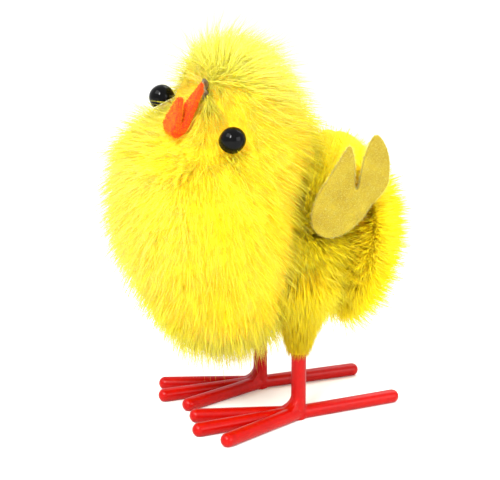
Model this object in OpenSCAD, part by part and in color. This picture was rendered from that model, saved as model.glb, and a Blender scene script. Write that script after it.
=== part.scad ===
// Chenille chick: a free-standing spring decoration made from two bumps of chenille stem, with
// felt wings and beak, bead eyes, and moulded legs that are pushed onto the ends of a thin stem.
// Millimetres, +Z up. The chick faces -Y and its left side is +X. The origin is on the ground,
// under the middle of the chick.

/* [Front bump] */
// Radius of the breast, the fattest part of the front bump
breast_r = 12.9; // [12:0.1:13.4]
// Radius of the two balls of pile that make the neck
neck_r = 10.4; // [9.5:0.1:10.8]
// Radius of the two balls of pile that make the head
head_r = 8.4; // [7.8:0.1:8.8]
// Radius of the belly, under the breast
belly_r = 10.9; // [10:0.1:11.2]

/* [Face] */
// How far the gaze leans forward from straight up, in degrees
face_lean = 21.5; // [15:0.5:28]
// How far the left eye drops below the right one, in degrees
face_roll = 17.4; // [10:0.2:22]
// How far the face turns to the chick's left, in degrees
face_turn = 21.2; // [12:0.2:28]
// Width of an eye bead
eye_d = 3; // [2.6:0.1:3.2]
// Height of an eye bead, from its flat back to the top of its dome
eye_h = 2.2; // [2:0.1:2.4]
// Distance from the middle of the face to each eye
eye_x = 6.8; // [6.2:0.1:7.2]
// How far each eye looks to its own side, in degrees
eye_splay = 38; // [30:1:45]
// Length of the upper half of the beak
upper_beak = 6.3; // [5.5:0.1:6.8]
// Length of the lower half of the beak
lower_beak = 3.7; // [3:0.1:4.2]
// Width of the beak where it is folded
beak_w = 2.5; // [2:0.1:2.8]

/* [Tail bump] */
// Radius of the tail bump, across its wire
tail_r = 13.6; // [12.6:0.1:14]
// Length of the tail bump along its wire
tail_len = 14.9; // [14:0.1:15.4]

/* [Wings] */
// Thickness of the wing felt
wing_t = 1; // [0.8:0.1:1.2]
// How far each wing flares outwards towards its tips, in degrees
wing_flare = 19.7; // [14:0.1:22]

/* [Legs] */
// Distance from the middle of the chick to each leg
leg_x = 6.45; // [6:0.05:7]
// Thickness of a leg
leg_d = 1.9; // [1.8:0.05:2.1]
// Height of a moulded leg
leg_h = 10.2; // [9.8:0.1:10.6]
// Thickness of a toe
toe_d = 1.8; // [1.6:0.05:1.9]
// Length of the middle front toe, from the middle of the leg
middle_toe = 14.7; // [13.5:0.1:15.5]
// Length of the side front toes
side_toe = 13.9; // [13:0.1:14.6]
// Length of the rear toe
rear_toe = 15; // [14:0.1:16]
// Angle between the front toes, in degrees
toe_spread = 21; // [18:0.5:24]
// How far the left foot is turned to the chick's left, in degrees
left_foot_turn = 4.7; // [0:0.1:6]
// How far the right foot is turned to the chick's left, in degrees
right_foot_turn = 1.5; // [-4:0.1:2]

/* [Wires] */
// Thickness of one of the two wires that are twisted into a stem
wire_d = 0.44; // [0.36:0.02:0.46]
// Length of stem in which the two wires go once round each other
twist_pitch = 3.4; // [3:0.1:5]

/* [Hidden] */
$fn = 48;
slack = 0.01;              // how far a cutting shape runs past the face that it cuts
ref_x = [1, 0, 0];
ref_y = [0, 1, 0];

// Where things are
pinch = [0, 4.7, 24];      // the bare stretch of wire between the two bumps
pole = [5.63, -9.5, 43.2]; // where the front wire ends, in the middle of the face
leg_y = 2.5;
hip_z = 15.6;              // height at which the leg stems bend

// The bumps
breast_at = [0.5, -7.6, 26];
belly_at = [0.5, -6.4, 20.2];
throat_at = [0.5, -9.4, 32.5];
nape_at = [0.5, -2.6, 33.6];
crown_in_face = [-0.6, 3.6, -4.9];
chin_in_face = [-0.3, -3.6, -9.3];
parting_lean = 15;         // the parting between the bumps leans back by this many degrees
parting_gap = 0.3;         // room on each side of the parting
saddle_w = 16.6;           // the room for the folded leg stem: its width,
saddle_drop = 11;          // how far it reaches below the pinch,
saddle_rise = 2.6;         // and how far above
nod_room = 6;              // degrees that the front bump can nod each way before it meets the tail
block = 60;                // a cutting block larger than the chick
tail_steps = 14;

// The face
eye_in_face = [0, -1.9, -4.35];
eye_skirt = eye_h - eye_d / 2;
eye_sink = 0.5;            // how deep an eye sits in the pile
glue_d = 2.3;
glue_h = 0.7;
beak_root = [0, -4.9, -4.7];
beak_rise = 43;            // angle of the upper beak from the plane of the face
beak_gape = 15;            // angle between the two halves of the beak
beak_t = 0.9;
beak_gap = 0.25;           // air between the two layers at the fold
beak_tip_w = 0.9;

// The wings
wing_at = [10.6, 3.4, 25];
wing_glue_d = 2.6;
wing_glue_h = 1;
wing_outline = [[-0.9, 0.1], [0.9, -0.8], [2.6, -0.2], [4.6, 1.2], [6, 3.6], [7.9, 5.4], [8.1, 8.4],
    [7.6, 10.6], [6.4, 12.2], [5.4, 10.4], [4.75, 8], [4.4, 5.2], [3.9, 5.2], [3.95, 8], [3.5, 10.9],
    [2.7, 9.8], [1, 6.8], [-0.5, 4.6], [-1.3, 2.2]];

// The legs
wire_gap = 0.02;           // air between the two wires of a stem
strand_off = (wire_d + wire_gap) / 2;
stem_r = strand_off + wire_d / 2;
bore_r = stem_r + 0.04;
bore_depth = 6.2;
toe_z = 0.8;               // height of a toe's middle, which leaves it a flat underside
foot_sink = 0.2;           // how far the foot's solids start below the ground, which trims them flat
web_r = 2.4;
web_w = 1.3;
thigh_top_r = 2.4;
thigh_low_r = 1.25;
thigh_low_z = 8.7;

// The wires
strand_sides = 8;
ring_step = 0.42;
wire_cut = 0.14;           // half the cut between two lengths of one wire, where it bends
head_route = [pinch + [0, -wire_cut, 0], [0, 1.2, 23.4], [0.1, -3.4, 24.4], [1.5, -6.6, 30],
    [3.3, -8.2, 36.6], pole];
tail_route = [pinch + [0, wire_cut, 0], [0, 8, 24.2], [0, 12, 24.3], [0, 17.2, 24]];
saddle_lift = 2 * stem_r + 0.35;
saddle_half = [[0, pinch[1], pinch[2] + saddle_lift], [1.8, 4.7, 25.2], [4.3, 4.3, 22.4],
    [6, 3.2, 18.6], [leg_x, leg_y, hip_z + wire_cut]];
leg_route = [[leg_x, leg_y, hip_z - wire_cut], [leg_x, leg_y, 11], [leg_x, leg_y, leg_h - 5.4]];

// Curves and paths

// A point of a soft curve that follows the corners c, at step i and share t
function soft_point(c, i, t) =
    (1 - t) * (1 - t) / 2 * c[i] + (0.5 + t - t * t) * c[i + 1] + t * t / 2 * c[i + 2];

// An open soft curve through the first and the last corner, with n points for each corner
function soft_path(c, n) =
    let (last = len(c) - 1)
    let (start = (c[1] - c[0]) / 4)
    let (end = (c[last] - c[last - 1]) / 4)
    let (inner = [for (i = [1:last - 1]) c[i]])
    let (all = concat([c[0] - start, c[0] + start], inner, [c[last] - end, c[last] + end]))
    concat([for (i = [0:last], k = [0:n - 1]) soft_point(all, i, k / n)], [c[last]]);

// A closed soft outline around the corners c
function soft_ring(c, n) =
    let (closed = concat(c, [c[0], c[1]]))
    [for (i = [0:len(c) - 1], k = [0:n - 1]) soft_point(closed, i, k / n)];

function unit(v) = v / norm(v);
function path_length(p, i = 0) = i >= len(p) - 1 ? 0 : norm(p[i + 1] - p[i]) + path_length(p, i + 1);
function heading(p, i) = unit(p[min(i + 1, len(p) - 1)] - p[max(i - 1, 0)]);

// One ring of a wire that winds round the path p: ref is any direction that p never takes
function wire_ring(p, i, start, turn_per_point, ref) =
    let (along = heading(p, i))
    let (side = unit(cross(along, ref)))
    let (up = cross(side, along))
    let (turn = start + turn_per_point * i)
    let (middle = p[i] + strand_off * (cos(turn) * side + sin(turn) * up))
    [for (k = [0:strand_sides - 1])
        let (a = 360 * k / strand_sides)
        middle + wire_d / 2 * (cos(a) * side + sin(a) * up)];

// One wire of a twisted pair
module strand(route, start, ref) {
    steps = max(2, round(path_length(route) / ring_step / (len(route) - 1)));
    p = soft_path(route, steps);
    rings = len(p);
    turn_per_point = 360 * path_length(p) / twist_pitch / rings;
    points = [for (i = [0:rings - 1]) each wire_ring(p, i, start, turn_per_point, ref)];
    sides = [for (i = [0:rings - 2], k = [0:strand_sides - 1])
        let (next = (k + 1) % strand_sides)
        let (low = i * strand_sides)
        let (high = low + strand_sides)
        each [[low + k, low + next, high + next], [low + k, high + next, high + k]]];
    first = [for (k = [strand_sides - 1:-1:0]) k];
    last = [for (k = [0:strand_sides - 1]) (rings - 1) * strand_sides + k];
    color("dimgray") polyhedron(points, concat(sides, [first], [last]), convexity = 6);
}

module both_sides() {
    children();
    mirror([1, 0, 0]) children();
}

// Places children in the face: X to the chick's left, Y to its crown, Z along its gaze
module in_face(at = [0, 0, 0]) {
    translate(pole) rotate([face_lean, face_roll, face_turn]) translate(at) children();
}

// Places children at an eye, with Z along its look: side is 1 for the left and -1 for the right
module at_eye(side) {
    in_face([side * eye_x, eye_in_face[1], eye_in_face[2]]) rotate([0, side * eye_splay, 0]) children();
}

// The front bump

// All that is behind the parting, after the front bump has nodded by the given angle
module behind_parting(nod) {
    translate(pinch) rotate([nod - parting_lean, 0, 0])
        translate([-block / 2, -parting_gap, -block / 2]) cube(block);
}

module thigh_room(r) {
    both_sides() translate([leg_x, leg_y, thigh_low_z - 4])
        cylinder(r1 = thigh_low_r + r, r2 = thigh_top_r + r, h = hip_z - thigh_low_z + 5.2);
}

// Room for the folded leg stem, which lies in the parting
module saddle_room(depth) {
    translate(pinch) rotate([-parting_lean, 0, 0]) translate([-saddle_w / 2, -depth, -saddle_drop])
        cube([saddle_w, 2 * depth, saddle_drop + saddle_rise]);
}

module head_pile() {
    color("gold") difference() {
        union() {
            translate(breast_at) sphere(breast_r);
            translate(belly_at) sphere(belly_r);
            translate(throat_at) sphere(neck_r);
            translate(nape_at) sphere(neck_r);
            in_face(crown_in_face) sphere(head_r);
            in_face(chin_in_face) sphere(head_r);
        }
        for (nod = [-nod_room, nod_room]) behind_parting(nod);
        saddle_room(1.6);
        thigh_room(2.1);
        for (side = [-1, 1]) at_eye(side) translate([0, 0, -eye_skirt - eye_sink])
            cylinder(d = eye_d + 0.1, h = eye_h + 4);
        beak_room();
    }
}

module head_wire_a() strand(head_route, 0, ref_x);
module head_wire_b() strand(head_route, 180, ref_x);

// The face

// Half of an eye's outline, for turning: a dome on a short skirt
function eye_outline(n = 10) =
    concat([[0, 0], [eye_d / 2, 0]],
        [for (i = [0:n - 1]) [eye_d / 2 * cos(90 * i / n), eye_skirt + eye_d / 2 * sin(90 * i / n)]],
        [[0, eye_h]]);

module eye(side) {
    color("black") at_eye(side) translate([0, 0, -eye_skirt]) rotate_extrude() polygon(eye_outline());
}

module eye_glue(side) {
    color("ivory") at_eye(side) translate([0, 0, -eye_skirt - glue_h]) cylinder(d = glue_d, h = glue_h);
}

module left_eye() eye(1);
module right_eye() eye(-1);
module left_eye_glue() eye_glue(1);
module right_eye_glue() eye_glue(-1);

// Places children at the fold of the beak, with Z along the upper half and Y away from the crown
module at_beak() {
    in_face(beak_root) rotate([beak_rise - 90, 0, 0]) mirror([0, 1, 0]) children();
}

// A tapered half of the beak, flat in X and Z
module mandible(length) {
    half = beak_w / 2;
    tip = beak_tip_w / 2;
    outline = soft_ring([[-half, -0.4], [half, -0.4], [half, length * 0.4], [tip, length + 0.1],
        [-tip, length + 0.1], [-half, length * 0.4]], 5);
    translate([0, beak_t / 2, 0]) rotate([90, 0, 0]) linear_extrude(beak_t) polygon(outline);
}

// Two tapered halves of one piece of felt, joined by a fold
module beak() {
    fold_r = beak_t + beak_gap / 2;
    lower_y = beak_t + beak_gap;
    color("orangered") at_beak() {
        mandible(upper_beak);
        translate([0, lower_y, 0]) rotate([-beak_gape, 0, 0]) mandible(lower_beak);
        translate([0, lower_y / 2, 0.2]) rotate([0, 90, 0])
            cylinder(r = fold_r, h = beak_w * 0.72, center = true);
    }
}

module beak_room() {
    at_beak() translate([-beak_w / 2 - 0.15, -beak_t / 2 - 0.1, -1.3])
        cube([beak_w + 0.3, 12, upper_beak + 2.4]);
}

module beak_glue() {
    fold_r = beak_t + beak_gap / 2;
    color("ivory") at_beak() translate([0, (beak_t + beak_gap) / 2, 0.2 - fold_r - 0.9])
        cylinder(d = 1.8, h = 0.88);
}

// The tail bump

// Radius of the tail bump at share t of its length
function tail_radius(t) = tail_r * pow(sin(180 * pow(t, 0.72)), 0.62);

module body_pile() {
    outline = concat([[0, 0]],
        [for (i = [1:tail_steps - 1]) [tail_radius(i / tail_steps), i / tail_steps * tail_len]],
        [[0, tail_len]]);
    color("gold") difference() {
        translate(pinch + [0, parting_gap, 0]) rotate([-90, 0, 0]) rotate_extrude() polygon(outline);
        translate(pinch) rotate([-parting_lean, 0, 0])
            translate([-block / 2, parting_gap - block, -block / 2]) cube(block);
        saddle_room(0.75);
        thigh_room(1.7);
        both_sides() wing_room();
    }
}

module body_wire_a() strand(tail_route, 0, ref_x);
module body_wire_b() strand(tail_route, 180, ref_x);

// The leg stem is folded over the pinch, and its two ends are the legs' cores
function mirrored(route) = [for (i = [len(route) - 1:-1:1]) [-route[i][0], route[i][1], route[i][2]]];
saddle_route = concat(mirrored(saddle_half), saddle_half);

module saddle_wire_a() strand(saddle_route, 0, ref_y);
module saddle_wire_b() strand(saddle_route, 180, ref_y);

// The wings

// Places children in the plane of the left wing: X towards the tail, Y up, Z inwards
module in_wing() {
    translate(wing_at) rotate([0, 0, 90 - wing_flare]) rotate([90, 0, 0]) mirror([0, 0, 1]) children();
}

module left_wing() {
    color("goldenrod") in_wing() translate([0, 0, -wing_t]) linear_extrude(wing_t)
        polygon(soft_ring(wing_outline, 4));
}

module right_wing() mirror([1, 0, 0]) left_wing();

module wing_room() {
    in_wing() translate([-3, -3, -wing_t * 4]) cube([14, 17, wing_t * 4 + 0.05]);
}

module left_wing_glue() {
    color("ivory") in_wing() translate([3.2, 2.6, slack]) cylinder(d = wing_glue_d, h = wing_glue_h);
}

module right_wing_glue() mirror([1, 0, 0]) left_wing_glue();

// The legs

module thigh_pile() {
    color("gold") translate([leg_x, leg_y, thigh_low_z]) difference() {
        cylinder(r1 = thigh_low_r, r2 = thigh_top_r, h = hip_z - thigh_low_z - wire_cut);
        translate([0, 0, -slack]) cylinder(d = leg_d + 0.1, h = leg_h - thigh_low_z + 0.06);
    }
}

module left_thigh_pile() thigh_pile();
module right_thigh_pile() mirror([1, 0, 0]) thigh_pile();

module left_leg_wire_a() strand(leg_route, 0, ref_x);
module left_leg_wire_b() strand(leg_route, 180, ref_x);
module right_leg_wire_a() mirror([1, 0, 0]) left_leg_wire_a();
module right_leg_wire_b() mirror([1, 0, 0]) left_leg_wire_b();

// One end of a toe's outline, at distance end along it: way is 1 for the far end and -1 for the near
function toe_end(end, way, n = 8) =
    let (r = toe_d / 2)
    [for (i = [0:n]) [r * cos(90 * i / n), end - way * (r - r * sin(90 * i / n))]];

// A round rod with domed ends, along -Y from the distance start to the distance end
module toe(end, start) {
    near = toe_end(start, -1);
    outline = concat([for (i = [len(near) - 1:-1:0]) near[i]], toe_end(end, 1));
    translate([0, 0, toe_z]) rotate([90, 0, 0]) rotate_extrude() polygon(outline);
}

// Height above the middle of a round bar of diameter d at which it is web_w wide
function web_rise(d) = sqrt(d * d / 4 - web_w * web_w / 4);

// The round inner corner between the leg and a front toe: both its ends lie just inside the bars
module toe_web() {
    reach = web_rise(leg_d) + web_r - 0.05;
    top = toe_z + web_rise(toe_d) + web_r - 0.05;
    difference() {
        translate([-web_w / 2, -reach, toe_z]) cube([web_w, reach, top - toe_z]);
        translate([-web_w, -reach, top]) rotate([0, 90, 0]) cylinder(r = web_r, h = 2 * web_w);
    }
}

// A moulded leg with its foot, standing on the ground at the origin and pointing along -Y
module moulded_leg() {
    color("red") difference() {
        union() {
            translate([0, 0, -foot_sink]) cylinder(d = leg_d, h = leg_h + foot_sink);
            toe(middle_toe, -rear_toe);
            for (side = [-1, 1]) rotate([0, 0, side * toe_spread]) toe(side_toe, -0.4);
            for (side = [-1, 0, 1]) rotate([0, 0, side * toe_spread]) toe_web();
        }
        translate([-block / 2, -block / 2, -block]) cube(block);
        translate([0, 0, leg_h - bore_depth]) cylinder(r = bore_r, h = bore_depth + 1);
    }
}

module left_leg() translate([leg_x, leg_y, 0]) rotate([0, 0, left_foot_turn]) moulded_leg();
module right_leg() translate([-leg_x, leg_y, 0]) rotate([0, 0, right_foot_turn]) moulded_leg();

head_pile();
head_wire_a();
head_wire_b();
left_eye();
right_eye();
left_eye_glue();
right_eye_glue();
beak();
beak_glue();
body_pile();
body_wire_a();
body_wire_b();
saddle_wire_a();
saddle_wire_b();
left_wing();
right_wing();
left_wing_glue();
right_wing_glue();
left_thigh_pile();
right_thigh_pile();
left_leg_wire_a();
left_leg_wire_b();
right_leg_wire_a();
right_leg_wire_b();
left_leg();
right_leg();
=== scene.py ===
import math

import bpy
import numpy as np
from mathutils import Euler, Matrix, Vector
from mathutils.kdtree import KDTree


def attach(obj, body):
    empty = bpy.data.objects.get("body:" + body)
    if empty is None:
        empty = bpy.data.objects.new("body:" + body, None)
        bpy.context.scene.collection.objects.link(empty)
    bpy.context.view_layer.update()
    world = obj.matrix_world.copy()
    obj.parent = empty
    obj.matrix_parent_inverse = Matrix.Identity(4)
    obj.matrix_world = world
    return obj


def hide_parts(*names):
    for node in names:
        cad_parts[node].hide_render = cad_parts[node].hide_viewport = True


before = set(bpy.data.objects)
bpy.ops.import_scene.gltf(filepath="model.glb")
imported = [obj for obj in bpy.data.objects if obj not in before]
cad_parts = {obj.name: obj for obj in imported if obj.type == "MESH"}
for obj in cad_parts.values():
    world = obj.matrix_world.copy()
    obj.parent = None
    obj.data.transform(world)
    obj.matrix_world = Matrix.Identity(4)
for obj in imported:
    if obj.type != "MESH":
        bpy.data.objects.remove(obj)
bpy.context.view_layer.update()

# A chenille chick. Places and sizes of the pile are in millimetres and become metres in the meshes.
MM = 0.001

# The face: X to the chick's left, Y to its crown, Z along its gaze
POLE = Vector((5.63, -9.5, 43.2))
FACE = Matrix.Translation(POLE) @ Euler([math.radians(a) for a in (21.5, 17.4, 21.2)]).to_matrix().to_4x4()
EYE_PLACE = Vector((6.8, -1.9, -4.35))
EYE_SPLAY = math.radians(38)
EYE_D = 3.0
EYE_H = 2.2
EYE_SKIRT = EYE_H - EYE_D / 2
UPPER_BEAK = 6.3
LOWER_BEAK = 3.7
BEAK_POINT = 0.5

# The two bumps: the pinch between them, the plane in which they part, and the front bump's balls of
# pile, each with its radius
PINCH = np.array((0, 4.7, 24.0))
PARTING_LEAN = math.radians(15)
PARTING = np.array((0, math.cos(PARTING_LEAN), -math.sin(PARTING_LEAN)))
NOD_SLOPE = 0.11
BALLS = [
    (Vector((0.5, -7.6, 26)), 12.9),
    (Vector((0.5, -5.4, 18.9)), 11.3),
    (Vector((0.5, -9.4, 32.5)), 10.4),
    (Vector((0.5, -2.6, 33.6)), 10.4),
    (FACE @ Vector((-0.6, 3.6, -4.9)), 8.4),
    (FACE @ Vector((-0.3, -3.6, -8.2)), 8.4),
]
BALL_BLEND = 1.1

# The face falls away from the pole like a low cone: its height at distances from the pole
FACE_REACH = (0, 2, 4.5, 6.8, 9, 12, 16, 30)
FACE_HEIGHT = (-0.7, -1.4, -3.2, -4.7, -5.4, -6.6, -8.6, -16)
CROWN_RISE = 1.4
BEAK_DENT = 0.6
HEAD_HUB = np.array((1.6, -6.2, 31.0))

# The tail bump: its top is lower by the share dip, and its front swells at the sides by the share flank
TAIL_R = 13.6
TAIL_LEN = 14.9
TAIL_DIP = 0.14
TAIL_FLANK = 0.3
TAIL_START = PINCH + np.array((0, 0.3, 0))
COLLAR_R = 11.6

# The wings
WING_AT = Vector((10.6, 3.4, 25))
WING_FLARE = math.radians(19.7)

LEG_AT = Vector((6.45, 2.5, 0))

rng = np.random.default_rng(7)


def turn(x=0, y=0, z=0):
    """A turn about X, then Y, then Z, in degrees."""
    return Euler([math.radians(a) for a in (x, y, z)]).to_matrix().to_4x4()


def eye_frame(side):
    """The frame of an eye, Z out of the face; side is 1 on the chick's left and -1 on its right."""
    place = Vector((side * EYE_PLACE.x, EYE_PLACE.y, EYE_PLACE.z))
    return FACE @ Matrix.Translation(place) @ turn(y=side * math.degrees(EYE_SPLAY))


BEAK_FRAME = FACE @ Matrix.Translation((0, -4.9, -4.7)) @ turn(x=43 - 90) @ Matrix.Diagonal((1, -1, 1, 1))
WING_FRAME = (
    Matrix.Translation(WING_AT)
    @ turn(z=90 - math.degrees(WING_FLARE))
    @ turn(x=90)
    @ Matrix.Diagonal((1, 1, -1, 1))
)


def into(matrix, points):
    """Points as they lie in the frame of a matrix."""
    inverse = np.array(matrix.inverted())
    return points @ inverse[:3, :3].T + inverse[:3, 3]


def unit(vectors):
    """The same directions at length 1."""
    return vectors / np.maximum(np.linalg.norm(vectors, axis=-1, keepdims=True), 1e-9)


def ripple(points, size, seed):
    """A smooth random value from -1 to 1 at each point: waves of about the given size in millimetres."""
    waves = np.random.default_rng(seed)
    total = np.zeros(len(points))
    for _ in range(6):
        direction = unit(waves.normal(size=3)) * 2 * math.pi / size * waves.uniform(0.6, 1.5)
        total += np.sin(points @ direction + waves.uniform(0, 2 * math.pi))
    return total / 6 * 1.6


# ---------------------------------------------------------------- materials


def new_group(name, inputs, outputs):
    """A shader node group, with its input and output nodes."""
    group = bpy.data.node_groups.new(name, "ShaderNodeTree")
    for label, kind, value in inputs:
        socket = group.interface.new_socket(label, in_out="INPUT", socket_type=kind)
        socket.default_value = value
    for label, kind in outputs:
        group.interface.new_socket(label, in_out="OUTPUT", socket_type=kind)
    return group, group.nodes.new("NodeGroupInput"), group.nodes.new("NodeGroupOutput")


def math_node(nodes, operation, first, second, links, clamp=False):
    """The output of a Math node; each input is a socket or a plain value."""
    node = nodes.new("ShaderNodeMath")
    node.operation = operation
    node.use_clamp = clamp
    for socket, value in zip(node.inputs, (first, second)):
        if hasattr(value, "links"):
            links.new(value, socket)
        else:
            socket.default_value = value
    return node.outputs[0]


def mix_node(nodes, factor, first, second, links):
    """The output of a colour Mix node; each input is a socket or a plain value."""
    node = nodes.new("ShaderNodeMix")
    node.data_type = "RGBA"
    for socket, value in ((node.inputs[0], factor), (node.inputs[6], first), (node.inputs[7], second)):
        if hasattr(value, "links"):
            links.new(value, socket)
        else:
            socket.default_value = value
    return node.outputs[2]


def fibre_colour_group():
    """The colour of a fibre from root to tip, with painted shade and painted light: roots darker and more
    golden like the pile's shaded depths, tips paler like its lit ends; mixed towards Pale a little
    differently on each fibre and each tuft, and more where a painted highlight makes the pile paler.
    """
    group, given, out = new_group(
        "fibre colour",
        [
            ("Root", "NodeSocketColor", (0.6, 0.35, 0, 1)),
            ("Middle", "NodeSocketColor", (0.9, 0.7, 0, 1)),
            ("Tip", "NodeSocketColor", (1, 0.9, 0.2, 1)),
            ("Pale", "NodeSocketColor", (1, 1, 0.5, 1)),
            ("Variation and painted highlight", "NodeSocketFloat", 0.5),
        ],
        [("Colour", "NodeSocketColor")],
    )
    nodes, links = group.nodes, group.links
    lay = nodes.new("ShaderNodeUVMap")
    lay.uv_map = "fibre"
    split = nodes.new("ShaderNodeSeparateXYZ")
    links.new(lay.outputs[0], split.inputs[0])
    own, along = split.outputs[0], split.outputs[1]
    # Painted shade and light: the Root colour stands for the pile's shaded depths and the Tip colour for its
    # lit ends
    low = math_node(nodes, "MULTIPLY", along, 2.0, links, clamp=True)
    high = math_node(nodes, "MULTIPLY_ADD", along, 2.0, links, clamp=True)
    high.node.inputs[2].default_value = -1.0
    body = mix_node(nodes, low, given.outputs["Root"], given.outputs["Middle"], links)
    body = mix_node(nodes, high, body, given.outputs["Tip"], links)
    # Painted highlight: each fibre's own value, larger where the pile is painted paler, mixes in the Pale
    # colour
    spread = math_node(nodes, "MULTIPLY", own, given.outputs["Variation and painted highlight"], links, clamp=True)
    links.new(mix_node(nodes, spread, body, given.outputs["Pale"], links), out.inputs[0])
    return group


def mottle_group():
    """Two colours mixed in soft blotches and fine grain, with the grain's height."""
    group, given, out = new_group(
        "mottle",
        [
            ("First", "NodeSocketColor", (0, 0, 0, 1)),
            ("Second", "NodeSocketColor", (1, 1, 1, 1)),
            ("Blotch size", "NodeSocketFloat", 300.0),
            ("Grain size", "NodeSocketFloat", 4000.0),
        ],
        [("Colour", "NodeSocketColor"), ("Height", "NodeSocketFloat")],
    )
    nodes, links = group.nodes, group.links
    place = nodes.new("ShaderNodeTexCoord")
    noises = []
    for label in ("Blotch size", "Grain size"):
        noise = nodes.new("ShaderNodeTexNoise")
        noise.inputs["Detail"].default_value = 3.0
        links.new(place.outputs["Object"], noise.inputs["Vector"])
        links.new(given.outputs[label], noise.inputs["Scale"])
        noises.append(noise.outputs["Fac"])
    both = math_node(nodes, "ADD", noises[0], noises[1], links)
    share = nodes.new("ShaderNodeMapRange")
    share.inputs["From Min"].default_value = 0.7
    share.inputs["From Max"].default_value = 1.3
    links.new(both, share.inputs["Value"])
    colour = mix_node(nodes, share.outputs[0], given.outputs["First"], given.outputs["Second"], links)
    links.new(colour, out.inputs["Colour"])
    links.new(noises[1], out.inputs["Height"])
    return group


FIBRE_COLOUR = fibre_colour_group()
MOTTLE = mottle_group()


def new_material(name, group, values, roughness, **sockets):
    """A material whose colour comes from a group, with plain values on the shader's other sockets."""
    material = bpy.data.materials.new(name)
    material.use_nodes = True
    nodes, links = material.node_tree.nodes, material.node_tree.links
    shader = nodes["Principled BSDF"]
    shader.inputs["Roughness"].default_value = roughness
    for label, value in sockets.items():
        shader.inputs[label.replace("_", " ")].default_value = value
    colour = nodes.new("ShaderNodeGroup")
    colour.node_tree = group
    for label, value in values.items():
        colour.inputs[label].default_value = value
    shader.inputs["Base Color"].default_value = values.get("Middle", values.get("Second"))
    links.new(colour.outputs["Colour"], shader.inputs["Base Color"])
    return material


def mottled_material(name, first, second, blotches, grain, bump, roughness, **sockets):
    """Two colours in blotches, with a bump given as its strength and its depth in metres."""
    values = {"First": (*first, 1), "Second": (*second, 1), "Blotch size": blotches, "Grain size": grain}
    material = new_material(name, MOTTLE, values, roughness, **sockets)
    if bump:
        nodes, links = material.node_tree.nodes, material.node_tree.links
        relief = nodes.new("ShaderNodeBump")
        relief.inputs["Strength"].default_value, relief.inputs["Distance"].default_value = bump
        group = next(n for n in nodes if n.type == "GROUP")
        links.new(group.outputs["Height"], relief.inputs["Height"])
        links.new(relief.outputs["Normal"], nodes["Principled BSDF"].inputs["Normal"])
    return material


def fur_material(name, root, middle, tip, pale, variation_and_painted_highlight):
    """Dyed fibres that let some light through and hardly shine; their colours from root to tip also carry
    painted shade and painted light.
    """
    values = {"Root": (*root, 1), "Middle": (*middle, 1), "Tip": (*tip, 1), "Pale": (*pale, 1)}
    values["Variation and painted highlight"] = variation_and_painted_highlight
    material = new_material(name, FIBRE_COLOUR, values, 0.45)
    shader = material.node_tree.nodes["Principled BSDF"]
    shader.inputs["Specular IOR Level"].default_value = 0.05
    shader.inputs["Subsurface Weight"].default_value = 0.7
    shader.inputs["Subsurface Radius"].default_value = (1.0, 0.8, 0.1)
    shader.inputs["Subsurface Scale"].default_value = 0.0006
    return material


# Painted shade and light: the root colour is the darker, more golden hue of the shaded depths, and Pale the
# painted highlight of the paler places
YELLOW_PILE = fur_material(
    "yellow pile", (0.78, 0.46, 0.001), (0.76, 0.55, 0.001), (0.75, 0.61, 0.001), (0.82, 0.80, 0.07), 0.85
)
# Painted shade: a more golden copy of the yellow pile, for the tail, the collar, the hips and the thighs,
# where the chick lies in shade
GOLDEN_PILE_PAINTED_SHADE = fur_material(
    "golden pile, painted shade", (1.0, 0.53, 0.001), (0.94, 0.58, 0.001), (0.86, 0.59, 0.001), (0.82, 0.69, 0.03), 0.7
)
CUT_PILE = fur_material(
    "cut pile", (0.80, 0.42, 0.002), (0.90, 0.62, 0.01), (0.90, 0.72, 0.05), (0.92, 0.85, 0.25), 0.5
)
BEAK_NAP = fur_material(
    "orange nap", (0.80, 0.010, 0.001), (0.92, 0.022, 0.001), (1.0, 0.065, 0.002), (1.0, 0.18, 0.01), 0.4
)
WING_NAP = fur_material(
    "mustard nap", (0.28, 0.18, 0.002), (0.36, 0.27, 0.006), (0.46, 0.37, 0.02), (0.66, 0.60, 0.12), 0.7
)
# Painted shade: the underfur is golden orange, the hue of the shaded depths that show between the fibres
UNDERFUR_PAINTED_SHADE = mottled_material(
    "underfur", (0.95, 0.50, 0.001), (0.95, 0.58, 0.002), 260, 2600, (0.6, 0.0004), 0.9
)
BEAK_FELT = mottled_material(
    "orange felt", (0.72, 0.006, 0.001), (0.92, 0.02, 0.001), 700, 5200, (0.5, 0.0002), 0.92
)
WING_FELT = mottled_material(
    "mustard felt", (0.26, 0.17, 0.002), (0.36, 0.27, 0.010), 420, 4200, (0.5, 0.0002), 0.95
)
RED_PLASTIC = mottled_material(
    "red plastic", (0.31, 0.001, 0.0005), (0.40, 0.002, 0.0005), 180, 1800, (0.05, 0.0001), 0.3,
    Specular_IOR_Level=0.15,
)
BLACK_BEAD = mottled_material(
    "black bead", (0.0008, 0.0008, 0.001), (0.002, 0.002, 0.002), 900, 6000, None, 0.05,
    Specular_IOR_Level=0.1,
)
WIRE = mottled_material(
    "dull wire", (0.10, 0.07, 0.045), (0.30, 0.24, 0.18), 900, 6000, (0.3, 0.0001), 0.45, Metallic=0.85
)
GLUE = mottled_material("hot glue", (0.62, 0.44, 0.10), (0.70, 0.56, 0.22), 500, 3000, (0.1, 0.0002), 0.35)

# ---------------------------------------------------------------- meshes


def deselect():
    bpy.ops.object.select_all(action="DESELECT")


def make_active(piece):
    deselect()
    piece.select_set(True)
    bpy.context.view_layer.objects.active = piece


def apply_place(piece):
    make_active(piece)
    bpy.ops.object.transform_apply(location=True, rotation=True, scale=True)


def paint(piece, material):
    piece.data.materials.clear()
    piece.data.materials.append(material)


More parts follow.
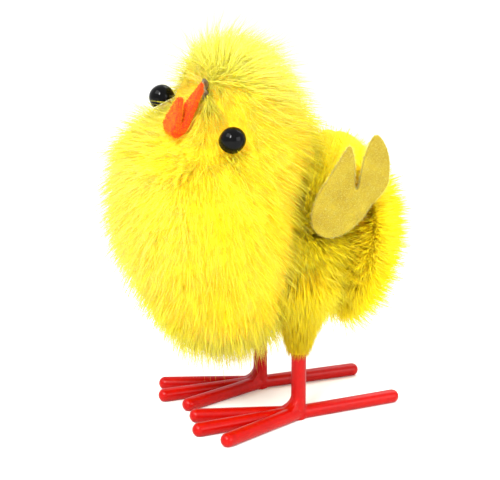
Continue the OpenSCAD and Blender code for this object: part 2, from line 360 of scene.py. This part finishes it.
def copy_of(node, name):
    """A merged copy of a CAD node's mesh, as a new piece."""
    piece = bpy.data.objects.new(name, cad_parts[node].data.copy())
    bpy.context.scene.collection.objects.link(piece)
    make_active(piece)
    bpy.ops.object.mode_set(mode="EDIT")
    bpy.ops.mesh.select_all(action="SELECT")
    bpy.ops.mesh.remove_doubles(threshold=1e-6)
    bpy.ops.object.mode_set(mode="OBJECT")
    return piece


def remesh(piece, voxel, smoothing):
    """Rounds a piece's edges: voxels of a size in millimetres, then so many rounds of smoothing."""
    make_active(piece)
    grid = piece.modifiers.new("remesh", "REMESH")
    grid.mode = "VOXEL"
    grid.voxel_size = voxel * MM
    grid.use_smooth_shade = True
    bpy.ops.object.modifier_apply(modifier=grid.name)
    soft = piece.modifiers.new("soften", "SMOOTH")
    soft.factor = 0.5
    soft.iterations = smoothing
    bpy.ops.object.modifier_apply(modifier=soft.name)


def mesh_points(piece):
    """A mesh's points in millimetres."""
    points = np.empty(len(piece.data.vertices) * 3)
    piece.data.vertices.foreach_get("co", points)
    return points.reshape(-1, 3) / MM


def set_points(piece, points):
    piece.data.vertices.foreach_set("co", (points * MM).ravel())
    piece.data.update()


def scatter(piece, count):
    """Random points on a piece's surface, with their normals."""
    data = piece.data
    data.calc_loop_triangles()
    corners = np.empty(len(data.loop_triangles) * 3, int)
    data.loop_triangles.foreach_get("vertices", corners)
    triangles = mesh_points(piece)[corners.reshape(-1, 3)]
    across = np.cross(triangles[:, 1] - triangles[:, 0], triangles[:, 2] - triangles[:, 0])
    areas = np.linalg.norm(across, axis=1)
    chosen = rng.choice(len(areas), count, p=areas / areas.sum())
    a, b = np.sqrt(rng.random(count)), rng.random(count)
    weights = np.stack([1 - a, a * (1 - b), a * b], axis=1)
    return np.einsum("nk,nkd->nd", weights, triangles[chosen]), unit(across[chosen])


# A fibre is a closed needle: rings of three corners, and a point
CORNERS = 3


def fibre_faces(rings):
    """The faces of one fibre, as lists of its points."""
    faces = [(0, 2, 1)]
    for ring in range(rings - 1):
        low, high = ring * CORNERS, (ring + 1) * CORNERS
        for k in range(CORNERS):
            following = (k + 1) % CORNERS
            faces.append((low + k, low + following, high + following, high + k))
    last = (rings - 1) * CORNERS
    faces += [(last + k, last + (k + 1) % CORNERS, rings * CORNERS) for k in range(CORNERS)]
    return faces


def fibres(name, root, bend, tip, thickness, own, material, shares=(0, 0.6)):
    """One piece of many fibres, each a curve from root past bend to tip, with a ring at each share of it."""
    count = len(root)
    size = len(shares) * CORNERS + 1
    axis = unit(tip - root)
    side = unit(np.cross(axis, rng.normal(size=(count, 3))))
    up = np.cross(axis, side)
    points = np.empty((count, size, 3))
    half = np.broadcast_to(np.asarray(thickness) / 2, (count,))[:, None]
    for ring, t in enumerate(shares):
        width = 1 - 0.35 * t
        middle = (1 - t) ** 2 * root + 2 * t * (1 - t) * bend + t * t * tip
        for k in range(CORNERS):
            angle = 2 * math.pi * k / CORNERS
            out = math.cos(angle) * side + math.sin(angle) * up
            points[:, ring * CORNERS + k] = middle + half * width * out
    points[:, -1] = tip
    faces = fibre_faces(len(shares))
    sizes = np.array([len(face) for face in faces])
    pattern = np.concatenate([np.array(face) for face in faces])
    corners = (np.arange(count)[:, None] * size + pattern).ravel()
    starts = np.concatenate([[0], np.cumsum(np.tile(sizes, count))[:-1]])
    data = bpy.data.meshes.new(name)
    data.vertices.add(count * size)
    data.vertices.foreach_set("co", (points * MM).ravel())
    data.loops.add(len(corners))
    data.loops.foreach_set("vertex_index", corners)
    data.polygons.add(len(starts))
    data.polygons.foreach_set("loop_start", starts)
    data.update(calc_edges=True)
    data.shade_smooth()
    along = np.append(np.repeat(shares, CORNERS), 1.0)
    lay = np.stack([np.repeat(own, len(pattern)), np.tile(along[pattern], count)], axis=1)
    data.uv_layers.new(name="fibre").data.foreach_set("uv", lay.ravel())
    piece = bpy.data.objects.new(name, data)
    bpy.context.scene.collection.objects.link(piece)
    paint(piece, material)
    return piece


def gather(points, pull, spacing):
    """The tuft that each point belongs to, and how far the point is pulled towards the tuft's middle."""
    count = max(8, int(len(points) / spacing))
    middles = points[rng.choice(len(points), count, replace=False)]
    tree = KDTree(count)
    for i, middle in enumerate(middles):
        tree.insert(middle, i)
    tree.balance()
    tuft = np.array([tree.find(p)[1] for p in points])
    return tuft, (middles[tuft] - points) * pull


# ---------------------------------------------------------------- pile


def head_field(points):
    """Below 0 inside the front bump's outline: balls of pile run together, cut off by the face."""
    total = sum(np.exp((r - np.linalg.norm(points - np.array(c), axis=1)) / BALL_BLEND) for c, r in BALLS)
    bump = -BALL_BLEND * np.log(total)
    x, y, z = into(FACE, points).T
    spread = x * (1 - 0.6 * np.clip(y / 2.5, 0, 1))
    roof = np.interp(np.hypot(spread, np.minimum(y, 0)), FACE_REACH, FACE_HEIGHT)
    roof += CROWN_RISE * np.maximum(y, 0)
    roof -= BEAK_DENT * np.exp(-(x * x + (y + 4.9) ** 2) / 7)
    over = (z - roof) * 0.8
    edge = 0.7
    return edge * np.log(np.exp(np.clip(bump / edge, -50, 50)) + np.exp(np.clip(over / edge, -50, 50)))


def head_outline(name, level, subdivisions):
    """A closed skin where head_field has the given level."""
    deselect()
    bpy.ops.mesh.primitive_ico_sphere_add(subdivisions=subdivisions, radius=MM)
    piece = bpy.context.object
    piece.name = name
    ways = unit(mesh_points(piece))
    near, far = np.full(len(ways), 0.5), np.full(len(ways), 30.0)
    for _ in range(26):
        middle = (near + far) / 2
        inside = head_field(HEAD_HUB + ways * middle[:, None]) < level
        near, far = np.where(inside, middle, near), np.where(inside, far, middle)
    set_points(piece, HEAD_HUB + ways * near[:, None])
    apply_place(piece)
    piece.data.shade_smooth()
    return piece


def head_normals(points):
    """The way out of the front bump at each point."""
    step = 0.05
    slope = [head_field(points + step * axis) - head_field(points - step * axis) for axis in np.eye(3)]
    return unit(np.stack(slope, axis=1))


def tail_radius(t):
    """The tail bump's radius at a share of its length."""
    return TAIL_R * np.sin(math.pi * np.clip(t, 0, 1) ** 0.72) ** 0.62


def tail_scatter(count):
    """Random points on the tail bump's outline, with their normals."""
    t = np.linspace(0, 1, 400)
    profile = np.stack([t * TAIL_LEN, tail_radius(t)], axis=1)
    step = np.diff(profile, axis=0)
    middle = (profile[1:] + profile[:-1]) / 2
    weights = np.linalg.norm(step, axis=1) * middle[:, 1]
    chosen = rng.choice(len(middle), count, p=weights / weights.sum())
    angle = rng.uniform(0, 2 * math.pi, count)
    radial = np.stack([np.cos(angle), np.zeros(count), np.sin(angle)], axis=1)
    forward = np.array((0, 1.0, 0))
    front = 1 - t[chosen]
    swell = 1 + TAIL_FLANK * front ** 2 * np.abs(np.cos(angle)) - TAIL_DIP * np.clip(np.sin(angle), 0, 1)
    points = TAIL_START + (middle[chosen, 1] * swell)[:, None] * radial + middle[chosen, 0, None] * forward
    slope = unit(step)[chosen]
    return points, slope[:, 0, None] * radial - slope[:, 1, None] * forward


def behind_parting(points):
    """How far each point lies behind the parting, and how far from the pinch along it."""
    away = points - PINCH
    depth = away @ PARTING
    return depth, np.linalg.norm(away - depth[:, None] * PARTING, axis=1)


def clear_of_trim(points):
    """Whether each point keeps clear of the eyes, the beak and the felt of the wings."""
    clear = np.ones(len(points), bool)
    for side in (-1, 1):
        x, y, z = into(eye_frame(side), points).T
        clear &= (np.hypot(x, y) > EYE_D / 2 + 0.06) | (z < -EYE_SKIRT + 0.1) | (z > 5)
        x, y, z = into(WING_FRAME, points * np.array((side, 1, 1))).T
        on_felt = (x > -0.8) & (x < 8.4) & (y > -1.0 + np.maximum(x - 2.4, 0) * 0.85) & (y < 3.4 + 1.15 * x)
        clear &= ~on_felt | (z > 0.1) | (z < -4)
    x, y, z = into(BEAK_FRAME, points).T
    clear &= (np.abs(x) > 1.45) | (y < -0.6) | (y > 2.6 + 0.3 * z) | (z < -1.2) | (z > 6.6)
    return clear


def lay_fibres(skin, normals, sweep, tilt, depth, reach):
    """Roots, bends and tips of fibres that come out through points of a skin.

    Sweep is the way in which each one leans, tilt its angle from the normal, depth how far its root is
    under the skin and reach how far its tip is over it."""
    count = len(skin)
    sideways = np.cross(normals, sweep)
    stray = rng.normal(0, 0.16, count) + 0.22 * ripple(skin, 5.5, 3)
    sweep = unit(sweep + stray[:, None] * sideways)
    tuft, drawn = gather(skin, TUFT_PULL, TUFT_SIZE)
    tuft_lean = np.random.default_rng(11).normal(0, 1, (tuft.max() + 1, 3))
    lean = tilt + rng.normal(0, 0.11, count) + 0.05 * ripple(skin, 7, 5) + 0.025 * tuft_lean[tuft, 0]
    lean = np.clip(lean, 0, math.radians(72))
    sweep = unit(sweep + 0.06 * tuft_lean[tuft, 1, None] * np.cross(normals, sweep))
    root = skin - normals * depth[:, None] - sweep * (depth * np.tan(lean) * 0.62)[:, None]
    drift = np.minimum((reach + 0.6) * np.tan(lean) * 1.1, 3.0)
    tip = skin + normals * reach[:, None] + sweep * drift[:, None] + drawn
    span = np.linalg.norm(tip - root, axis=1)[:, None]
    bend = (root + tip) / 2 + normals * span * 0.09 - sweep * span * 0.05
    return root, bend, tip, tuft


def keep_clear(root, bend, tip):
    """A mask of the fibres that don't run through the eyes, the beak or the wings."""
    clear = np.ones(len(root), bool)
    for t in (0.5, 0.7, 0.85, 1.0):
        clear &= clear_of_trim((1 - t) ** 2 * root + 2 * t * (1 - t) * bend + t * t * tip)
    return clear


def in_batches(name, body, laid, own, thickness, material, shares=(0, 0.6)):
    """Fibres in pieces of a handy size, which ride on one body."""
    root, bend, tip = laid
    for i, start in enumerate(range(0, len(root), BATCH)):
        part = slice(start, start + BATCH)
        lines = (root[part], bend[part], tip[part])
        piece = fibres(f"{name}_{i + 1}", *lines, thickness[part], own[part], material, shares)
        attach(piece, body)


HEAD_FIBRES = 78000
TAIL_FIBRES = 40000
COLLAR_FIBRES = 23000
HIP_FIBRES = 6000
THIGH_FIBRES = 8500
BEAK_NAP_FIBRES = 9000
WING_NAP_FIBRES = 15000
FEWER = 1.0
BATCH = 19000

# Their thickness, least and most, and how they gather in tufts
PILE_THICKNESS = (0.05, 0.09)
STEM_THICKNESS = (0.05, 0.095)
NAP_LENGTH = 0.42
TUFT_SIZE = 24
TUFT_PULL = 0.11

# The skin that tips are measured from lies a little inside a bump's outline
SKIN_DEPTH = 0.35
USUAL_DEPTH = 1.4
LONGEST_FRINGE = 2.7
LONGEST_HANG = 3.2

# How far fibres lean: on the front bump at distances from the pole, and on the tail
TILT_REACH = (0, 4, 8, 14, 30)
TILT_DEGREES = (66, 58, 46, 40, 32)
TAIL_TILT = math.radians(44)


def fringe_reach(count, most):
    """How far tips stand over the skin: most lie in it, and fewer and fewer reach far."""
    return np.minimum(rng.exponential(0.8, count) - USUAL_DEPTH, most * rng.uniform(0.6, 1, count))


def fibre_tone_and_painted_light(points, tuft, seed):
    """How pale each fibre is, from 0 to 1: at random by tuft and by fibre, and with painted highlight on the
    crown, the breast and the hanging belly, which are paler.
    """
    _, y, z = points.T
    tone = np.random.default_rng(seed).random(tuft.max() + 1)[tuft]
    # Painted highlight: paler where light falls on the crown and the breast and shines through the hanging
    # belly's fringe
    place = 0.5 * np.clip((z - 36) / 9, 0, 1) + 0.3 * np.clip((-y - 13) / 6, 0, 1)
    place += 0.4 * np.clip((14 - z) / 5, 0, 1) * np.clip((4 - y) / 6, 0, 1)
    own = 0.3 * rng.random(len(points))
    return np.clip(0.25 * tone + own + place + 0.12 * ripple(points, 9, seed), 0, 0.98)


def make_head_pile():
    """The front bump's fibres, which fan out from the cut end of the wire in the face."""
    skin = head_outline("skin", -SKIN_DEPTH, 6)
    points, _ = scatter(skin, int(HEAD_FIBRES * FEWER))
    bpy.data.objects.remove(skin)
    depth, height = behind_parting(points)
    points = points[depth < -0.1 - 0.02 * height]
    normals = head_normals(points)
    away = points - np.array(POLE)
    distance = np.linalg.norm(away, axis=1)
    sweep = unit(away - np.einsum("nd,nd->n", away, normals)[:, None] * normals)
    tilt = np.radians(np.interp(distance, TILT_REACH, TILT_DEGREES))
    count = len(points)
    long = np.interp(distance, (0, 5, 10), (0.35, 0.7, 1))
    _, y, z = into(FACE, points).T
    crown = np.clip((y - 1.5) / 3, 0, 1) * np.clip((z + 7) / 5, 0, 1)
    hang = np.clip((14 - points[:, 2]) / 5, 0, 1)
    reach = fringe_reach(count, LONGEST_FRINGE) * long
    reach += np.minimum(rng.exponential(0.5, count), 1.5) * (0.4 + crown + 1.2 * hang)
    reach = np.minimum(reach, LONGEST_HANG)
    depth = rng.uniform(2.6, 4.2, count) * long
    root, bend, tip, tuft = lay_fibres(points, normals, sweep, tilt, depth, reach)
    clear = keep_clear(root, bend, tip)
    own = fibre_tone_and_painted_light(points, tuft, 5)
    thickness = rng.uniform(*PILE_THICKNESS, count)
    laid = (root[clear], bend[clear], tip[clear])
    in_batches("head_pile_fibres", "head", laid, own[clear], thickness[clear], YELLOW_PILE)


def make_head_core():
    """The dense pile under the front bump's fibres, cut off at the parting."""
    core = head_outline("head_underfur", -1.6, 5)
    points = mesh_points(core)
    points += head_normals(points) * (0.25 * ripple(points, 2.4, 9))[:, None]
    depth, height = behind_parting(points)
    over = np.maximum(depth + 0.5 + NOD_SLOPE * height, 0)
    set_points(core, points - over[:, None] * PARTING)
    paint(core, UNDERFUR_PAINTED_SHADE)
    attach(core, "head")
    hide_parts("head_pile")


def make_tail_pile():
    """The tail bump's fibres, which lean backwards."""
    points, normals = tail_scatter(int(TAIL_FIBRES * FEWER))
    depth, _ = behind_parting(points)
    keep = depth > 0.2
    points, normals = points[keep], normals[keep]
    count = len(points)
    backwards = np.array((0, 1.0, 0))
    sweep = unit(backwards - (normals @ backwards)[:, None] * normals)
    tilt = TAIL_TILT * (1 - np.clip(normals @ backwards, 0, 1)) * np.clip((depth[keep] - 1) / 6, 0, 1)
    depth = rng.uniform(2.6, 4.4, count)
    reach = fringe_reach(count, LONGEST_FRINGE)
    skin = points - normals * SKIN_DEPTH
    root, bend, tip, tuft = lay_fibres(skin, normals, sweep, tilt, depth, reach)
    clear = keep_clear(root, bend, tip)
    own = fibre_tone_and_painted_light(points, tuft, 6) * 0.8
    thickness = rng.uniform(*PILE_THICKNESS, count)
    laid = (root[clear], bend[clear], tip[clear])
    in_batches("tail_pile_fibres", "body", laid, own[clear], thickness[clear], GOLDEN_PILE_PAINTED_SHADE)


def make_tail_core():
    """A ball drawn out to the tail bump's profile, a little inside its outline."""
    deselect()
    bpy.ops.mesh.primitive_ico_sphere_add(subdivisions=5, radius=MM)
    core = bpy.context.object
    core.name = "tail_underfur"
    ways = unit(mesh_points(core))
    t = (ways[:, 1] + 1) / 2
    radial = unit(ways * np.array((1, 0, 1)))
    reach = np.maximum(tail_radius(t) - 1.9, 0.3) * np.clip(np.hypot(ways[:, 0], ways[:, 2]) * 6, 0, 1)
    points = TAIL_START + radial * reach[:, None]
    points[:, 1] += t * (TAIL_LEN - 3.4) + 1.4
    points += radial * (0.35 * ripple(points, 3.4, 10))[:, None]
    depth, _ = behind_parting(points)
    points += np.maximum(0.5 - depth, 0)[:, None] * PARTING
    set_points(core, points)
    core.data.shade_smooth()
    paint(core, UNDERFUR_PAINTED_SHADE)
    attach(core, "body")
    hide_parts("body_pile")


# The pile round a leg stem: where its tips begin and how far up they go, the hip's height, and the
# pile's radius at heights over the ground
THIGH_LOW = 7.9
THIGH_TALL = 8.5
HIP_Z = 15.6
STEM_HEIGHTS = (8.4, 10, 12, 15, 18, 22, 25)
STEM_RADII = (1.0, 1.5, 2.5, 4.0, 6.6, 8.4, 8.0)


def stem_middle(z, side):
    """The middle of a leg stem at a height: it leans in to the pinch over the hip."""
    heights = (HIP_Z, 18.6, 22.4, 25.2)
    x = np.interp(z, heights, (LEG_AT.x, 6.0, 4.3, 1.8))
    y = np.interp(z, heights, (LEG_AT.y, 3.2, 4.3, PINCH[1]))
    return np.stack([side * x, y, z], axis=1)


def make_hip(name, side):
    """The pile of a leg stem over the hip, which fills the corner between the two bumps."""
    count = int(HIP_FIBRES * FEWER)
    z = rng.uniform(HIP_Z, STEM_HEIGHTS[-1], count)
    axis = stem_middle(z, side)
    angle = rng.uniform(0, 2 * math.pi, count)
    out = np.stack([np.cos(angle), np.sin(angle), rng.normal(-0.55, 0.35, count)], axis=1)
    out = unit(out)
    reach = np.interp(z, STEM_HEIGHTS, STEM_RADII) + rng.uniform(-1.6, 0.6, count)
    root = axis + out * 0.6
    tip = axis + out * reach[:, None] + rng.normal(0, 0.2, (count, 3))
    bend = (root + tip) / 2 + np.array((0, 0, 0.3))
    clear = keep_clear(root, bend, tip)
    laid = (root[clear], bend[clear], tip[clear])
    kept = clear.sum()
    own = rng.random(kept)
    in_batches(f"{name}_hip_fibres", "body", laid, own, rng.uniform(*STEM_THICKNESS, kept), GOLDEN_PILE_PAINTED_SHADE)


def make_collar():
    """The pile between the two bumps, all round the pinch."""
    count = int(COLLAR_FIBRES * FEWER)
    angle = rng.uniform(0, 2 * math.pi, count)
    up = np.array((0, -PARTING[2], PARTING[1]))
    lean = rng.uniform(-0.4, 0.5, count)
    out = np.cos(angle)[:, None] * np.array((1.0, 0, 0)) + np.sin(angle)[:, None] * up
    out += lean[:, None] * PARTING
    out = unit(out)
    reach = COLLAR_R + 2.5 * np.clip(lean, 0, 1) + np.minimum(rng.exponential(0.7, count), 2.4)
    reach += 0.6 * np.sin(angle) - 1.0
    root = PINCH + out * (reach - rng.uniform(4, 6, count))[:, None] + 0.5 * PARTING
    tip = PINCH + out * reach[:, None] + rng.normal(0, 0.2, (count, 3))
    bend = (root + tip) / 2 + rng.normal(0, 0.12, (count, 3))
    clear = keep_clear(root, bend, tip)
    laid = (root[clear], bend[clear], tip[clear])
    kept = clear.sum()
    own = 0.5 * rng.random(kept)
    in_batches("collar_fibres", "body", laid, own, rng.uniform(*PILE_THICKNESS, kept), GOLDEN_PILE_PAINTED_SHADE)


def make_thigh(name, side):
    """The short, trimmed pile of a leg stem, which hides where it enters the moulded leg."""
    core = copy_of(f"{name}_thigh_pile", f"{name}_thigh_underfur")
    remesh(core, 0.16, 4)
    points = mesh_points(core)
    middle = np.array((side * LEG_AT.x, LEG_AT.y, 0))
    slim = np.ones_like(points)
    slim[:, :2] = np.interp(points[:, 2], (8.6, 10), (1, 0.62))[:, None]
    set_points(core, middle + (points - middle) * slim)
    paint(core, UNDERFUR_PAINTED_SHADE)
    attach(core, f"{name}_thigh")
    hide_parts(f"{name}_thigh_pile")
    count = int(THIGH_FIBRES * FEWER)
    angle = rng.uniform(0, 2 * math.pi, count)
    out = np.stack([np.cos(angle), np.sin(angle), np.zeros(count)], axis=1)
    low = THIGH_LOW + THIGH_TALL * rng.random(count) ** 0.75
    fall = rng.uniform(1.6, 4.2, count)
    near = np.interp(low + fall, STEM_HEIGHTS, STEM_RADII) * 0.45
    far = np.interp(low, STEM_HEIGHTS, STEM_RADII) * rng.uniform(0.7, 1.2, count) + 0.3
    height = np.array((0, 0, 1.0))
    root = middle + out * near[:, None] + (low + fall)[:, None] * height
    tip = middle + out * far[:, None] + low[:, None] * height + rng.normal(0, 0.12, (count, 3))
    bend = (root + tip) / 2 + out * (0.16 * fall)[:, None]
    laid = (root, bend, tip)
    own = 0.6 * rng.random(count)
    thickness = rng.uniform(0.055, 0.095, count)
    in_batches(f"{name}_thigh_fibres", f"{name}_thigh", laid, own, thickness, GOLDEN_PILE_PAINTED_SHADE)


# ---------------------------------------------------------------- eyes, beak, wings and legs


def make_eye(name, side):
    """A bead: a dome on a short skirt, with a soft lower edge, turned a little egg-shaped."""
    deselect()
    bpy.ops.mesh.primitive_cylinder_add(vertices=56, radius=EYE_D / 2 * MM, depth=EYE_H * MM)
    eye = bpy.context.object
    eye.name = f"{name}_eye_bead"
    top = EYE_H / 2 * MM
    for sign, offset, segments in ((1, EYE_D / 2 * 0.985, 14), (-1, 0.16, 4)):
        bpy.ops.object.mode_set(mode="EDIT")
        bpy.ops.mesh.select_all(action="DESELECT")
        bpy.ops.object.mode_set(mode="OBJECT")
        for edge in eye.data.edges:
            heights = [eye.data.vertices[v].co.z for v in edge.vertices]
            edge.select = all(abs(z - sign * top) < 1e-6 for z in heights)
        bpy.ops.object.mode_set(mode="EDIT")
        bpy.ops.mesh.select_mode(type="EDGE")
        bpy.ops.mesh.bevel(
            offset=offset * MM, segments=segments, profile=0.5, affect="EDGES", clamp_overlap=True
        )
        bpy.ops.object.mode_set(mode="OBJECT")
    eye.data.transform(Matrix.Diagonal((1, 1.05, 1, 1)))
    place = eye_frame(side) @ Matrix.Translation((0, 0, EYE_H / 2 - EYE_SKIRT))
    place.translation *= MM
    eye.data.transform(place)
    bpy.ops.object.shade_smooth()
    paint(eye, BLACK_BEAD)
    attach(eye, "head")
    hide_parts(f"{name}_eye")


def add_nap(felt, name, body, count, material):
    """Short loose fibres that stand out of a piece of felt."""
    points, normals = scatter(felt, int(count * FEWER))
    count = len(points)
    lean = unit(rng.normal(size=(count, 3)) + normals * 0.35)
    outwards = lean * np.sign(np.einsum("nd,nd->n", lean, normals))[:, None]
    spans = rng.uniform(0.35, 1.0, count) ** 1.5 * NAP_LENGTH
    root = points - normals * 0.06
    tip = points + outwards * spans[:, None]
    bend = (root + tip) / 2 + rng.normal(0, 0.16, (count, 3)) * spans[:, None]
    own = rng.random(count)
    thickness = rng.uniform(0.035, 0.06, count)
    in_batches(name, body, (root, bend, tip), own, thickness, material, shares=(0,))


def make_beak():
    """The folded felt, with its two arms narrowed towards their points."""
    beak = copy_of("beak", "beak_felt_fold")
    remesh(beak, 0.11, 5)
    points = mesh_points(beak)
    x, y, z = into(BEAK_FRAME, points).T
    length = np.where(y > 0.6 + 0.13 * z, LOWER_BEAK, UPPER_BEAK)
    across = unit(np.array(BEAK_FRAME)[:3, 0])
    narrower = BEAK_POINT * np.clip(z / length, 0, 1) ** 1.3 + 0.12
    points = points - (x * narrower)[:, None] * across
    set_points(beak, points + 0.05 * ripple(points, 1.3, 21)[:, None] * unit(points - points.mean(0)))
    paint(beak, BEAK_FELT)
    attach(beak, "head")
    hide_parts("beak")
    add_nap(beak, "beak_nap", "head", BEAK_NAP_FIBRES, BEAK_NAP)


def make_wing(name):
    """A two-lobed piece of felt, a little wavy."""
    wing = copy_of(f"{name}_wing", f"{name}_wing_felt")
    remesh(wing, 0.14, 5)
    points = mesh_points(wing)
    set_points(wing, points + 0.06 * ripple(points, 2.2, 22)[:, None] * np.array((1, 0, 0)))
    paint(wing, WING_FELT)
    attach(wing, "body")
    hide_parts(f"{name}_wing")
    add_nap(wing, f"{name}_wing_nap", "body", WING_NAP_FIBRES, WING_NAP)


GLUE_SHARE = 0.66
BEAK_GLUE_SINK = 2.2


def make_glue(node, body, sink):
    """A drop of hot glue, smaller than its CAD piece and moved by sink, so that the pile covers it."""
    drop = copy_of(node, f"{node}_drop")
    remesh(drop, 0.11, 8)
    points = mesh_points(drop)
    middle = points.mean(0)
    set_points(drop, middle + (points - middle) * GLUE_SHARE + np.array(sink))
    paint(drop, GLUE)
    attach(drop, body)
    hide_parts(node)


def make_wisps():
    """A few long fibres that arch from the end of the wire over the face."""
    count = 26

    def spread(*ranges):
        return np.stack([rng.uniform(low, high, count) for low, high in ranges], axis=1)

    root = np.column_stack([spread((-0.5, 0.3), (-0.2, 0.7)), np.full(count, -1.2)])
    tip = spread((-8.2, -4.4), (-0.6, 3.4), (-3.4, -0.8))
    bend = (root + tip) / 2 + np.column_stack([np.zeros(count), spread((0.2, 1.3), (0.8, 2.2))])
    place = np.array(FACE)
    laid = [points @ place[:3, :3].T + place[:3, 3] for points in (root, bend, tip)]
    own = rng.uniform(0.2, 0.9, count)
    thickness = np.full(count, 0.05)
    piece = fibres("face_wisps", *laid, thickness, own, CUT_PILE, shares=(0, 0.2, 0.4, 0.6, 0.8))
    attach(piece, "head")


def make_leg(name):
    """The moulded leg, with soft inner corners where its bars meet."""
    leg = copy_of(f"{name}_leg", f"{name}_moulded_leg")
    remesh(leg, 0.12, 6)
    paint(leg, RED_PLASTIC)
    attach(leg, f"{name}_foot")
    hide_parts(f"{name}_leg")


make_head_core()
make_tail_core()
make_head_pile()
make_tail_pile()
make_collar()
for name, side in (("left", 1), ("right", -1)):
    make_hip(name, side)
    make_thigh(name, side)
    make_eye(name, side)
    make_wing(name)
    make_leg(name)
    make_glue(f"{name}_eye_glue", "head", (0, 0, 0))
    make_glue(f"{name}_wing_glue", "body", (0, 0, 0))
make_beak()
make_glue("beak_glue", "head", FACE.to_3x3() @ Vector((0, 0, -BEAK_GLUE_SINK)))
make_wisps()
for node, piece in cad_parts.items():
    if "wire" in node:
        paint(piece, WIRE)

# ---------------------------------------------------------------- floor, light and camera


def make_floor():
    """The pale floor under the chick, which is stage and not part of it."""
    deselect()
    bpy.ops.mesh.primitive_plane_add(size=12)
    floor = bpy.context.object
    floor.name = "floor"
    material = bpy.data.materials.new("pale floor")
    material.use_nodes = True
    shader = material.node_tree.nodes["Principled BSDF"]
    shader.inputs["Base Color"].default_value = (0.94, 0.94, 0.92, 1)
    shader.inputs["Roughness"].default_value = 0.6
    shader.inputs["Specular IOR Level"].default_value = 0.2
    paint(floor, material)


def add_lamp(name, at, aim, size, watts, colour=(1, 1, 1)):
    """A rectangular soft light that faces aim; places are in metres."""
    light = bpy.data.lights.new(name, "AREA")
    light.shape = "RECTANGLE"
    light.size, light.size_y = size
    light.energy = watts
    light.color = colour
    lamp = bpy.data.objects.new(name, light)
    lamp.location = at
    lamp.rotation_euler = (Vector(aim) - Vector(at)).to_track_quat("-Z", "Y").to_euler()
    bpy.context.scene.collection.objects.link(lamp)


def view_from(azimuth, elevation, distance, aim):
    """The place from which a camera looks at aim."""
    a, e = math.radians(azimuth), math.radians(elevation)
    back = Vector((math.sin(a) * math.cos(e), -math.cos(a) * math.cos(e), math.sin(e)))
    return aim + back * distance


make_floor()
MIDDLE = Vector((0.0, -0.002, 0.025))
add_lamp("key", view_from(20, 48, 0.42, MIDDLE), MIDDLE, (0.26, 0.20), 0.9)
add_lamp("back", view_from(205, 50, 0.45, MIDDLE), MIDDLE, (0.30, 0.22), 1.0)
add_lamp("fill", view_from(122, 14, 0.42, MIDDLE), MIDDLE, (0.26, 0.22), 0.8)
add_lamp("window", view_from(52, 38, 0.34, MIDDLE), MIDDLE, (0.05, 0.11), 1.1)

world = bpy.data.worlds.new("studio")
world.use_nodes = True
world.node_tree.nodes["Background"].inputs["Color"].default_value = (1, 1, 1, 1)
world.node_tree.nodes["Background"].inputs["Strength"].default_value = 1.15
bpy.context.scene.world = world
bpy.context.scene.view_settings.view_transform = "Standard"

AIM = Vector((0.0078645, -0.00468, 0.0240975))
lens = bpy.data.cameras.new("camera")
lens.lens = 86.98
lens.clip_start = 0.01
lens.clip_end = 30
camera = bpy.data.objects.new("camera", lens)
camera.location = view_from(68.42, 12.02, 0.14527, AIM)
camera.rotation_euler = (AIM - camera.location).to_track_quat("-Z", "Y").to_euler()
bpy.context.scene.collection.objects.link(camera)
bpy.context.scene.camera = camera
